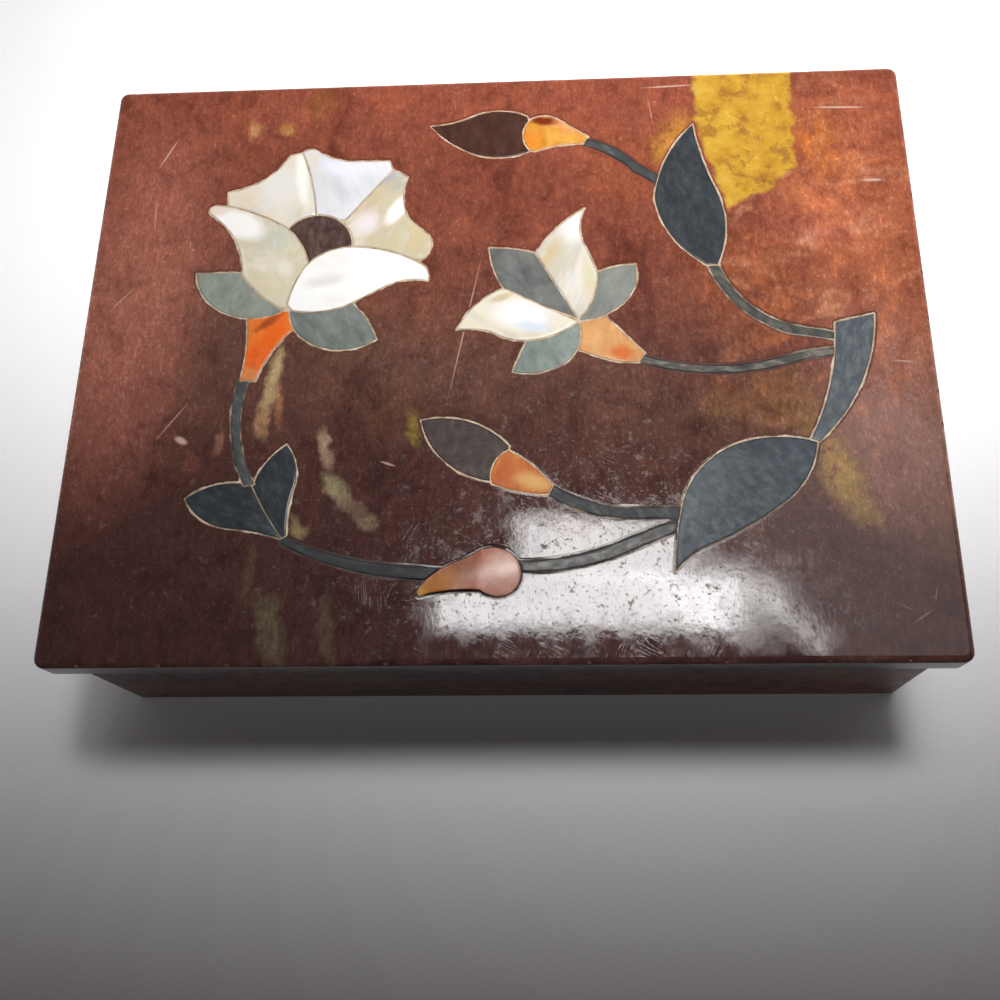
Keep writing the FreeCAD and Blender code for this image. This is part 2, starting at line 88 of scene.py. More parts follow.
class Shader:
    """A node material with short calls for the nodes it is made of."""

    def __init__(self, name):
        self.material = bpy.data.materials.new(name)
        self.material.use_nodes = True
        self.nodes = self.material.node_tree.nodes
        self.links = self.material.node_tree.links
        self.surface = self.nodes["Principled BSDF"]
        place = self.nodes.new("ShaderNodeTexCoord")
        self.mm = self.vector("MULTIPLY", place.outputs["Object"], STEPS / MM)
        self.ragged = self.mm
        self.colour = None

    def feed(self, socket, value):
        """Link a node's output to a socket, or set the socket to a plain value."""
        if isinstance(value, bpy.types.NodeSocket):
            self.links.new(value, socket)
        else:
            socket.default_value = value

    def set(self, socket, value):
        """Feed one of the surface's own sockets."""
        self.feed(self.surface.inputs[socket], value)

    def math(self, operation, *values, clamp=False):
        node = self.nodes.new("ShaderNodeMath")
        node.operation = operation
        node.use_clamp = clamp
        for socket, value in zip(node.inputs, values):
            self.feed(socket, value)
        return node.outputs[0]

    def vector(self, operation, *values, scale=None):
        node = self.nodes.new("ShaderNodeVectorMath")
        node.operation = operation
        for socket, value in zip(node.inputs, values):
            self.feed(socket, value)
        if scale is not None:
            node.inputs["Scale"].default_value = scale
        return node.outputs["Value" if operation in ("LENGTH", "DOT_PRODUCT") else "Vector"]

    def remap(self, value, low, high, to_low=0.0, to_high=1.0):
        """A smooth step from one value to another as the input goes from low to high."""
        node = self.nodes.new("ShaderNodeMapRange")
        node.interpolation_type = "SMOOTHSTEP"
        for socket, number in zip(node.inputs, (value, low, high, to_low, to_high)):
            self.feed(socket, number)
        return node.outputs[0]

    def mapped(self, at=(0, 0), size=(1, 1, 1), turn=0.0, source=None):
        """Coordinates whose unit is an ellipse of this size at this place on the lid."""
        node = self.nodes.new("ShaderNodeMapping")
        node.vector_type = "TEXTURE"
        self.feed(node.inputs["Vector"], source or self.mm)
        node.inputs["Location"].default_value = (*at, 0)
        node.inputs["Rotation"].default_value = (0, 0, math.radians(turn))
        node.inputs["Scale"].default_value = size
        return node.outputs[0]

    def noise(self, size, detail=4.0, rough=0.55, source=None, colour=False, warp=0.0):
        """Noise whose features are about this many millimetres wide."""
        node = self.nodes.new("ShaderNodeTexNoise")
        self.feed(node.inputs["Vector"], source or self.mm)
        node.inputs["Scale"].default_value = 1.0 / size
        node.inputs["Detail"].default_value = detail
        node.inputs["Roughness"].default_value = rough
        node.inputs["Distortion"].default_value = warp
        return node.outputs["Color" if colour else 0]

    def attribute(self, name):
        """A number stored on the points of the mesh."""
        node = self.nodes.new("ShaderNodeAttribute")
        node.attribute_name = name
        return node.outputs["Fac"]

    def ramp(self, value, *stops):
        """A colour by value, through stops given as (position, colour)."""
        node = self.nodes.new("ShaderNodeValToRGB")
        elements = node.color_ramp.elements
        while len(elements) < len(stops):
            elements.new(1.0)
        for element, (position, colour) in zip(elements, stops):
            element.position = position
            element.color = colour
        self.feed(node.inputs[0], value)
        return node.outputs[0]

    def mix(self, amount, a, b, blend="MIX"):
        node = self.nodes.new("ShaderNodeMix")
        node.data_type = "RGBA"
        node.blend_type = blend
        self.feed(node.inputs[0], amount)
        self.feed(node.inputs[6], a)
        self.feed(node.inputs[7], b)
        return node.outputs[2]

    def stain(self, mask, amount, tint):
        """Lay a tint over the colour so far."""
        self.colour = self.mix(self.scaled(mask, amount), self.colour, tint)

    def tone(self, value, low, high, amount, *factor):
        """Lighten or darken the colour so far as a value goes from low to high."""
        share = self.remap(value, low, high, 0.0, amount)
        self.colour = self.mix(share, self.colour, (*factor, 1.0), "MULTIPLY")

    def ruffle(self, size, amount):
        """Make the rims of blobs and patches ragged."""
        shift = self.vector("SUBTRACT", self.noise(size, colour=True, detail=5.0), (0.5, 0.5, 0.5))
        self.ragged = self.vector("MULTIPLY_ADD", shift, (2 * amount, 2 * amount, 0.0), self.mm)

    def blob(self, at, size, turn=0.0, soft=0.4):
        """1 inside an ellipse on the lid, 0 outside it."""
        reach = self.vector("LENGTH", self.mapped(at, (*size, 1e5), turn, self.ragged))
        return self.remap(reach, 1 + soft, 1 - soft)

    def patch(self, corners, soft):
        """1 inside a convex outline on the lid, given anticlockwise, 0 outside it."""
        inside = None
        for (x0, y0), (x1, y1) in zip(corners, corners[1:] + corners[:1]):
            inward = Vector((y0 - y1, x1 - x0, 0)).normalized()
            depth = self.math("SUBTRACT", self.vector("DOT_PRODUCT", self.ragged, inward),
                              inward.dot(Vector((x0, y0, 0))))
            inside = depth if inside is None else self.math("MINIMUM", inside, depth)
        return self.remap(inside, -soft, soft)

    def bump(self, height, depth_mm, strength=1.0, below=None):
        """A normal that follows a height, on top of another normal if one is given."""
        node = self.nodes.new("ShaderNodeBump")
        node.inputs["Strength"].default_value = strength
        node.inputs["Distance"].default_value = depth_mm * MM
        self.feed(node.inputs["Height"], height)
        if below is not None:
            self.feed(node.inputs["Normal"], below)
        return node.outputs[0]

    def scaled(self, mask, amount):
        """A mask made weaker."""
        return self.math("MULTIPLY", mask, amount)

    def scratches(self, turn, width, length, seed):
        """Fine broken lines that run about one way."""
        lines = self.noise(1.0, 1.0, 0.4, self.mapped((seed, seed), (width, length, width), turn))
        thin = self.remap(self.math("ABSOLUTE", self.math("SUBTRACT", lines, 0.5)), 0.012, 0.003)
        broken = self.remap(self.noise(5.0, 2.0, 0.6, self.mapped((seed, -seed))), 0.55, 0.66)
        return self.math("MULTIPLY", thin, broken)


def stone_tone_with_painted_shade(s):
    """The lid stone's broad colour: red-brown at the back and right, and darker towards the front, partly its
    own tone and partly painted shade of light falling off towards the front.
    """
    # the run from back to front is partly painted shade
    across = s.vector("DOT_PRODUCT", s.mm, (0.0018, 0.5 / HALF_STEPS_Y, 0.0))
    depth = s.math("ADD", s.math("MULTIPLY_ADD", s.noise(34.0, 2.0, 0.5), 0.24, 0.38), across)
    return s.ramp(depth, (0.05, srgb(66, 40, 37)), (0.25, srgb(76, 47, 42)), (0.46, srgb(98, 66, 56)),
                  (0.68, srgb(120, 66, 51)), (0.92, srgb(138, 73, 54)))


# Clouds in the lid's stone: place, half size, turn, softness, amount and tint
LID_CLOUDS = (
    ((17.0, 27.0), (5.0, 5.5), -35, 0.6, 0.25, srgb(156, 86, 46)),
    ((24.5, 31.5), (2.6, 4.5), -20, 0.6, 0.75, srgb(186, 128, 52)),
    ((44.5, 31.0), (3.6, 4.6), 25, 0.7, 0.7, srgb(182, 104, 46)),
    ((33.5, 9.5), (6.0, 8.5), 15, 0.7, 0.45, srgb(160, 90, 52)),
    ((44.0, 18.0), (5.0, 3.0), 10, 0.7, 0.5, srgb(160, 86, 74)),
    ((36.8, -9.5), (4.5, 4.5), 0, 0.7, 0.5, srgb(136, 98, 62)),
    ((29.3, -10.5), (2.2, 3.2), 10, 0.6, 0.4, srgb(118, 84, 46)),
    ((43.2, -19.0), (2.2, 6.6), 22, 0.7, 0.75, srgb(158, 126, 70)),
    ((46.2, -26.0), (2.4, 1.6), -30, 0.6, 0.5, srgb(138, 110, 66)),
    ((-11.0, -12.6), (0.9, 2.4), 8, 0.5, 0.7, srgb(132, 116, 52)),
    ((-13.5, -9.0), (3.5, 4.0), 0, 0.7, 0.3, srgb(110, 74, 46)),
    ((-21.0, 1.5), (5.0, 4.0), 0, 0.7, 0.3, srgb(104, 76, 48)),
    ((-26.5, 40.5), (2.0, 2.6), 0, 0.6, 0.4, srgb(140, 92, 42)),
)
# Cream and green-grey veins: place, half size, turn, amount and tint
LID_VEINS = (
    ((-30.0, -4.6), (0.9, 4.2), -6, 0.85, srgb(186, 160, 116)),
    ((-31.0, -11.0), (0.8, 2.2), 0, 0.7, srgb(164, 124, 90)),
    ((-28.9, -8.5), (0.6, 3.0), 4, 0.6, srgb(176, 120, 82)),
    ((-36.4, -14.4), (0.7, 1.5), -10, 0.5, srgb(150, 108, 92)),
    ((-40.0, -17.0), (1.0, 1.6), 0, 0.35, srgb(122, 74, 62)),
    ((-22.3, -15.0), (0.7, 2.4), 16, 0.75, srgb(166, 138, 112)),
    ((-20.6, -20.6), (1.1, 2.2), 38, 0.75, srgb(148, 136, 104)),
    ((-18.6, -23.0), (1.0, 2.2), 45, 0.5, srgb(138, 116, 92)),
    ((-16.2, -25.6), (1.0, 1.2), 0, 0.6, srgb(146, 122, 96)),
    ((-25.0, -26.2), (0.9, 1.6), 15, 0.75, srgb(148, 128, 90)),
    ((-30.9, -32.0), (0.7, 3.6), -4, 0.5, srgb(98, 74, 56)),
    ((-27.6, -39.6), (1.6, 4.4), 14, 0.6, srgb(104, 96, 74)),
    ((-20.6, -39.4), (1.0, 4.2), 6, 0.4, srgb(100, 86, 66)),
    ((-35.9, 36.2), (1.0, 1.2), 0, 0.65, srgb(190, 146, 88)),
    ((-31.0, 36.2), (0.9, 1.1), 0, 0.6, srgb(184, 136, 74)),
    ((48.5, 24.2), (4.2, 0.4), 3, 0.6, srgb(186, 124, 88)),
    ((42.5, 15.4), (2.6, 0.7), 18, 0.5, srgb(172, 108, 104)),
)
# Scratches and knocks on the lid's face: place, half size, turn and amount
LID_MARKS = (
    ((-4.4, 2.8), (0.09, 9.2), -10.7, 0.75), ((-48.3, 32.4), (0.13, 2.4), -25, 0.9),
    ((-43.0, -10.8), (0.09, 2.7), -35, 0.7), ((-41.5, -13.6), (0.42, 0.85), 62, 1.0),
    ((48.2, 37.0), (3.2, 0.16), -2, 1.0), ((51.6, 24.4), (1.3, 0.22), 0, 1.0),
    ((24.3, 41.7), (3.3, 0.14), 2, 0.9), ((-14.3, 12.9), (0.16, 0.8), -20, 0.9),
    ((-14.0, -17.4), (0.9, 0.16), -20, 0.7), ((52.8, -4.0), (1.3, 0.14), -6, 0.7),
    ((51.4, -38.4), (1.3, 0.07), 34, 0.4), ((53.2, -35.6), (0.9, 0.06), 76, 0.4),
    ((49.4, -37.2), (1.0, 0.06), -28, 0.3), ((-52.2, 8.0), (0.1, 2.0), -40, 0.6),
    ((-49.0, 22.0), (0.12, 2.6), 3, 0.6), ((21.5, 37.5), (0.08, 2.2), 8, 0.5),
)
OCHRE_OUTLINE = [(31.6, 20.0), (37.2, 23.4), (41.2, 26.6), (41.6, 44.5), (27.8, 44.5), (28.0, 35.0)]
# the veins come out a little shifted on the lid's underside
UNDERSIDE_SHIFT = (1.8, -2.6, 9.0)


def lay_clouds(s):
    """The lid stone's broad colour with its painted shade towards the front, and ochre, olive and orange
    clouds in it.
    """
    s.ruffle(5.0, 1.6)
    s.colour = stone_tone_with_painted_shade(s)
    drift = s.noise(7.0, 5.0, 0.6, s.mapped(size=(1.0, 1.6, 1.0), turn=-6), warp=0.9)
    s.tone(drift, 0.52, 0.72, 0.6, 1.35, 1.3, 1.15)
    s.tone(drift, 0.5, 0.3, 0.65, 0.5, 0.42, 0.46)
    s.stain(s.blob((48.5, 17.0), (9.0, 20.0), 5, 0.7), 0.6, srgb(184, 106, 72))
    s.stain(s.blob((50.0, -11.0), (8.0, 14.0), 8, 0.7), 0.55, srgb(160, 114, 101))
    s.stain(s.blob((-50.5, 8.0), (9.0, 24.0), -6, 0.7), 0.65, srgb(174, 106, 88))
    flecks = s.noise(1.9, 4.0, 0.6)
    for at, size, turn, soft, amount, tint in LID_CLOUDS:
        s.stain(s.math("MULTIPLY", s.blob(at, size, turn, soft), s.remap(flecks, 0.3, 0.5)), amount, tint)


def lay_veins(s):
    """Cream and green-grey veins, then orange and brick clouds and soft pale wisps at the right."""
    s.ruffle(2.6, 1.5)
    for at, size, turn, amount, tint in LID_VEINS:
        s.stain(s.blob(at, size, turn, 0.6), amount, tint)
    right_side = s.blob((43.0, 14.0), (15.0, 28.0), 0, 0.5)
    cloud = s.noise(5.0, 6.0, 0.66, s.mapped((31, 12), (1.0, 1.3, 1.0), -20), warp=0.7)
    s.stain(s.math("MULTIPLY", s.remap(cloud, 0.51, 0.62), right_side), 0.35, srgb(204, 118, 74))
    s.stain(s.math("MULTIPLY", s.remap(cloud, 0.48, 0.37), right_side), 0.45, srgb(126, 60, 44))
    curls = s.noise(9.0, 2.0, 0.5, s.mapped((17, 5), (1.7, 1.0, 1.0), 28, s.ragged), warp=0.8)
    wisps = s.math("MULTIPLY", s.remap(s.math("ABSOLUTE", s.math("SUBTRACT", curls, 0.5)), 0.06, 0.0),
                   s.remap(s.noise(6.0, 4.0, 0.6, s.mapped((8, 19))), 0.42, 0.62))
    s.stain(s.math("MULTIPLY", wisps, right_side), 0.4, srgb(206, 142, 108))


def lay_grain(s):
    """Mottling, streaks and grain drawn out towards the front, and pale specks. Returns the grain."""
    mottle = s.noise(3.4, 5.0, 0.64, s.mapped((13, 6)), warp=0.8)
    s.tone(mottle, 0.51, 0.68, 0.5, 1.45, 1.4, 1.25)
    s.tone(mottle, 0.49, 0.32, 0.5, 0.55, 0.45, 0.47)
    streaks = s.noise(1.3, 4.0, 0.62, s.mapped((3, 0), (1.0, 4.0, 1.0), 3), warp=0.5)
    s.tone(streaks, 0.51, 0.7, 0.32, 1.45, 1.5, 1.5)
    s.tone(streaks, 0.49, 0.3, 0.3, 0.6, 0.54, 0.56)
    grain = s.noise(0.4, 4.0, 0.66, s.mapped(size=(1.0, 1.9, 1.0), turn=4))
    s.tone(grain, 0.5, 0.72, 0.75, 1.6, 1.75, 1.8)
    s.tone(grain, 0.46, 0.28, 0.6, 0.5, 0.46, 0.46)
    specks = s.noise(0.36, 2.0, 0.6, s.mapped((9, 4), (1.0, 1.5, 1.0), -12))
    s.tone(specks, 0.64, 0.74, 0.8, 2.0, 2.3, 2.4)
    hairs = s.noise(0.26, 2.0, 0.5, s.mapped((2, 14), (1.0, 8.0, 1.0), 3))
    s.tone(hairs, 0.6, 0.7, 0.35, 1.7, 1.85, 1.9)
    return grain


def lay_ochre(s):
    """The yellow patch at the back, over the grain."""
    patch = s.patch(OCHRE_OUTLINE, 0.5)
    yellow = s.ramp(s.noise(3.0, 5.0, 0.62), (0.3, srgb(162, 110, 46)), (0.42, srgb(196, 148, 46)),
                    (0.6, srgb(212, 170, 58)), (0.75, srgb(214, 180, 92)))
    s.stain(patch, 0.86, yellow)
    browned = s.remap(s.noise(3.0, 5.0, 0.7, s.mapped((3, 8)), warp=0.4), 0.53, 0.64)
    s.stain(s.math("MULTIPLY", patch, browned), 0.6, srgb(138, 84, 44))


def lay_marks(s, worn):
    """Scratches, knocks and a lighter band along the rim of the lid's face. Returns where the face is worn.
    """
    for at, size, turn, amount in LID_MARKS:
        mark = s.scaled(s.blob(at, size, turn, 0.5), amount)
        s.stain(mark, 0.75, srgb(214, 176, 160))
        worn = s.math("MAXIMUM", worn, mark)
    place = s.nodes.new("ShaderNodeSeparateXYZ")
    s.feed(place.inputs[0], s.mm)
    past_rim = s.math("MAXIMUM", s.math("SUBTRACT", s.math("ABSOLUTE", place.outputs[0]), HALF_STEPS_X),
                      s.math("SUBTRACT", s.math("ABSOLUTE", place.outputs[1]), HALF_STEPS_Y))
    rim = s.math("MULTIPLY", s.remap(past_rim, -0.9, -0.25), s.remap(s.noise(2.4, 4.0, 0.65), 0.34, 0.62))
    s.colour = s.mix(s.scaled(rim, 0.8), s.colour, (1.8, 1.9, 2.0, 1.0), "MULTIPLY")
    return worn


def lid_stone(name, face):
    """Red-brown soapstone with colours in it: the lid's polished face, or its duller underside."""
    s = Shader(name)
    if not face:
        s.mm = s.vector("ADD", s.mm, UNDERSIDE_SHIFT)
    lay_clouds(s)
    lay_veins(s)
    grain = lay_grain(s)
    lay_ochre(s)
    fine = s.math("MAXIMUM", s.scratches(4, 0.3, 9.0, 3.0), s.scratches(-28, 0.34, 8.0, 11.0))
    worn = s.scaled(s.math("MAXIMUM", fine, s.scratches(62, 0.4, 7.0, 23.0)), 0.35)
    s.colour = s.mix(worn, s.colour, (2.2, 2.6, 2.8, 1.0), "MULTIPLY")
    s.ragged = s.mm
    if face:
        worn = lay_marks(s, worn)
    s.set("Base Color", s.colour)

    gloss = (0.03, 0.1) if face else (0.34, 0.48)
    polish = s.remap(s.noise(2.2, 6.0, 0.66, s.mapped((4, 9), (1.0, 1.6, 1.0))), 0.36, 0.7, *gloss)
    dull = s.remap(s.noise(1.5, 5.0, 0.7, s.mapped((21, 2))), 0.58, 0.66, 0.0, 0.25)
    pocks = s.remap(s.noise(0.5, 4.0, 0.7, s.mapped((5, 31))), 0.575, 0.66, 0.0, 0.28)
    # the front strip is rubbed smooth
    behind_front = s.remap(s.vector("DOT_PRODUCT", s.mm, (0.0, 1.0, 0.0)), -42.0, -38.5)
    spots = s.math("MULTIPLY", s.math("ADD", dull, pocks), behind_front)
    s.set("Roughness", s.math("ADD", s.math("MULTIPLY_ADD", worn, 0.25, polish), spots, clamp=True))
    swell = s.bump(s.noise(6.0, 3.0, 0.5), 0.03, 0.5)
    s.set("Normal", s.bump(s.math("MULTIPLY_ADD", worn, -0.8, grain), 0.006, 0.5, swell))
    return s.material


def base_stone(name, tone, polish):
    """The same stone in the base, without the lid's clouds."""
    s = Shader(name)
    s.ruffle(4.0, 1.2)
    veins = s.noise(16.0, 4.0, 0.55, s.mapped((40, 13), (2.4, 1.0, 1.0), 8), warp=0.5)
    def shade(red, green, blue):
        return srgb(red * tone, green * tone, blue * tone)
    colour = s.ramp(veins, (0.3, shade(58, 33, 30)), (0.45, shade(92, 50, 42)), (0.58, shade(118, 64, 50)),
                    (0.7, shade(128, 88, 58)))
    olive = s.remap(s.noise(9.0, 5.0, 0.6, s.mapped((7, 31), (2.0, 1.0, 1.0))), 0.56, 0.68, 0.0, 0.55)
    colour = s.mix(olive, colour, shade(96, 86, 62))
    grain = s.noise(0.55, 4.0, 0.62, s.mapped(size=(1.4, 1.4, 2.2)))
    colour = s.mix(s.remap(grain, 0.52, 0.76, 0.0, 0.4), colour, shade(176, 116, 92))
    colour = s.mix(s.remap(grain, 0.46, 0.26, 0.0, 0.5), colour, shade(50, 27, 25))
    worn = s.math("MAXIMUM", s.scratches(50, 0.35, 8.0, 5.0), s.scratches(-20, 0.35, 9.0, 17.0))
    colour = s.mix(s.scaled(worn, 0.45), colour, shade(200, 150, 126))
    s.set("Base Color", colour)
    s.set("Roughness", s.remap(s.noise(1.8, 5.0, 0.65), 0.3, 0.75, polish, polish + 0.2))
    s.set("Normal", s.bump(s.math("MULTIPLY_ADD", worn, -0.8, grain), 0.015, 0.6,
                           s.bump(s.noise(5.0, 3.0, 0.5), 0.08, 0.5)))
    return s.material


def chip_stone():
    """Freshly broken, powdery stone in the little chips along the edges."""
    s = Shader("chip_stone")
    s.set("Base Color", s.ramp(s.noise(0.4, 4.0, 0.65), (0.3, srgb(82, 49, 42)), (0.55, srgb(120, 76, 64)),
                               (0.72, srgb(166, 122, 106))))
    s.set("Roughness", s.remap(s.noise(0.5), 0.3, 0.7, 0.6, 0.85))
    s.set("Normal", s.bump(s.noise(0.25, 5.0, 0.7), 0.05, 0.8))
    return s.material


def mineral(name, base, light, dark, tints=(), grain=1.4, stretch=2.5, turn=0.0, polish=(0.22, 0.36),
            lustre=None, pits=0.012, ruffle=(1.6, 0.45), lines=0.0, speckle=0.28):
    """A slip of shell or coloured stone: grain, stains at given places, and the polish on it."""
    s = Shader(name)
    s.ruffle(*ruffle)
    drift = s.noise(grain, 5.0, 0.6, s.mapped(size=(1.0, stretch, 1.0), turn=turn), warp=0.4)
    colour = s.ramp(drift, (0.28, srgb(*dark)), (0.5, srgb(*base)), (0.72, srgb(*light)))
    for at, size, angle, soft, amount, tint in tints:
        colour = s.mix(s.scaled(s.blob(at, size, angle, soft), amount), colour, srgb(*tint))
    if lustre:
        pink, blue, amount = lustre
        wave = s.noise(2.6, 3.0, 0.5, s.mapped((5, 2), (1.0, 1.9, 1.0), turn + 25), warp=1.2)
        colour = s.mix(s.remap(wave, 0.54, 0.70, 0.0, amount), colour, srgb(*pink))
        colour = s.mix(s.remap(wave, 0.46, 0.30, 0.0, amount), colour, srgb(*blue))
        fibres = s.noise(0.32, 3.0, 0.5, s.mapped((2, 7), (1.0, 7.0, 1.0), turn - 12))
        colour = s.mix(s.remap(fibres, 0.58, 0.75, 0.0, 0.15), colour, srgb(255, 253, 250))
    fine = s.noise(0.3, 4.0, 0.65)
    colour = s.mix(s.remap(fine, 0.58, 0.8, 0.0, speckle), colour, srgb(*light))
    colour = s.mix(s.remap(fine, 0.42, 0.22, 0.0, speckle), colour, srgb(*dark))
    if lines:
        rows = s.noise(0.5, 2.0, 0.5, s.mapped((1, 3), (16.0, 0.5, 1.0), 4))
        colour = s.mix(s.remap(rows, 0.55, 0.68, 0.0, lines), colour, srgb(*light))
    worn = s.math("MAXIMUM", s.scratches(20, 0.22, 5.0, 7.0), s.scratches(-55, 0.26, 5.0, 19.0))
    colour = s.mix(s.scaled(worn, 0.3), colour, srgb(*light))
    s.set("Base Color", colour)
    s.set("Roughness", s.remap(s.noise(1.1, 4.0, 0.6), 0.3, 0.72, *polish))
    s.set("Normal", s.bump(s.math("MULTIPLY_ADD", worn, -0.8, fine), pits, 0.6, s.bump(drift, 0.05, 0.35)))
    if lustre:
        s.surface.inputs["Coat Weight"].default_value = 0.35
        s.surface.inputs["Coat Roughness"].default_value = 0.12
    return s.material


def cement_paste():
    """Pale setting cement, thin and broken, darkened by dirt and round the raised bud by painted shade, and
    taking on the stone at its outer edge.
    """
    s = Shader("cement_paste")
    s.ruffle(1.5, 0.5)
    colour = s.ramp(s.noise(1.3, 5.0, 0.65), (0.28, srgb(140, 112, 90)), (0.46, srgb(190, 164, 136)),
                    (0.62, srgb(216, 196, 170)), (0.8, srgb(230, 216, 198)))
    # low paleness darkens the cement: dirt, and round the bud painted shade
    smear = s.math("MULTIPLY_ADD", s.noise(3.2, 4.0, 0.65, s.mapped((3, 17))), 1.2,
                   s.math("SUBTRACT", s.attribute("pale"), 0.6))
    colour = s.mix(s.remap(smear, 0.7, 0.25), colour, srgb(56, 46, 43))
    for at, size, turn, tint in (((27.6, -13.0), (2.4, 7.0), -48, srgb(214, 202, 178)),
                                 ((31.0, -26.6), (10.5, 2.0), 25, srgb(66, 52, 47)),
                                 ((-29.3, -24.1), (0.8, 4.2), 33, srgb(84, 80, 76)),
                                 ((41.0, -0.6), (4.0, 2.4), 0, srgb(150, 146, 128))):
        colour = s.mix(s.scaled(s.blob(at, size, turn, 0.4), 0.7), colour, tint)
    breaks = s.noise(2.4, 5.0, 0.7, s.mapped((6, 1)))
    spread = s.math("MULTIPLY_ADD", breaks, 1.8, s.math("SUBTRACT", s.attribute("out"), 0.9))
    soiled = s.remap(spread, 0.3, 0.62)
    # at its outer edge the cement takes the lid stone's tone, painted shade towards the front included
    colour = s.mix(soiled, colour, stone_tone_with_painted_shade(s))
    s.set("Base Color", colour)
    s.set("Roughness", s.remap(soiled, 0.0, 1.0, s.remap(s.noise(0.6), 0.3, 0.7, 0.45, 0.7), 0.14))
    s.set("Normal", s.bump(s.noise(0.3, 5.0, 0.7), 0.02, 0.5))
    return s.material


def aged_brass():
    """Yellow brass, browned in its corners and rubbed brighter in places."""
    s = Shader("aged_brass")
    tarnish = s.noise(1.6, 5.0, 0.65, warp=0.5)
    colour = s.ramp(tarnish, (0.3, srgb(118, 84, 44)), (0.48, srgb(168, 128, 66)), (0.7, srgb(204, 166, 92)))
    brushed = s.noise(0.2, 3.0, 0.5, s.mapped(size=(9.0, 1.0, 1.0)))
    colour = s.mix(s.remap(brushed, 0.55, 0.75, 0.0, 0.4), colour, srgb(224, 190, 120))
    s.set("Base Color", colour)
    s.surface.inputs["Metallic"].default_value = 1.0
    s.set("Roughness", s.remap(tarnish, 0.3, 0.7, 0.5, 0.28))
    s.set("Normal", s.bump(brushed, 0.01, 0.5))
    return s.material


PEARL = dict(light=(236, 230, 216), dark=(206, 196, 170), grain=4.5, stretch=1.8, polish=(0.14, 0.22),
             lustre=((240, 224, 222), (214, 224, 234), 0.28), pits=0.003, ruffle=(2.2, 0.3), speckle=0.1)
SLATE = dict(grain=0.9, stretch=2.0, polish=(0.18, 0.26), pits=0.006)
SLATE_DARK = (56, 61, 65), (70, 75, 78), (44, 48, 52)
SLATE_STEM = (66, 69, 70), (98, 99, 96), (46, 48, 50)
STEMS = dict(grain=0.8, stretch=3.0, polish=(0.45, 0.6), pits=0.006)
SEPAL = dict(grain=1.6, stretch=2.0, polish=(0.3, 0.44), speckle=0.2)

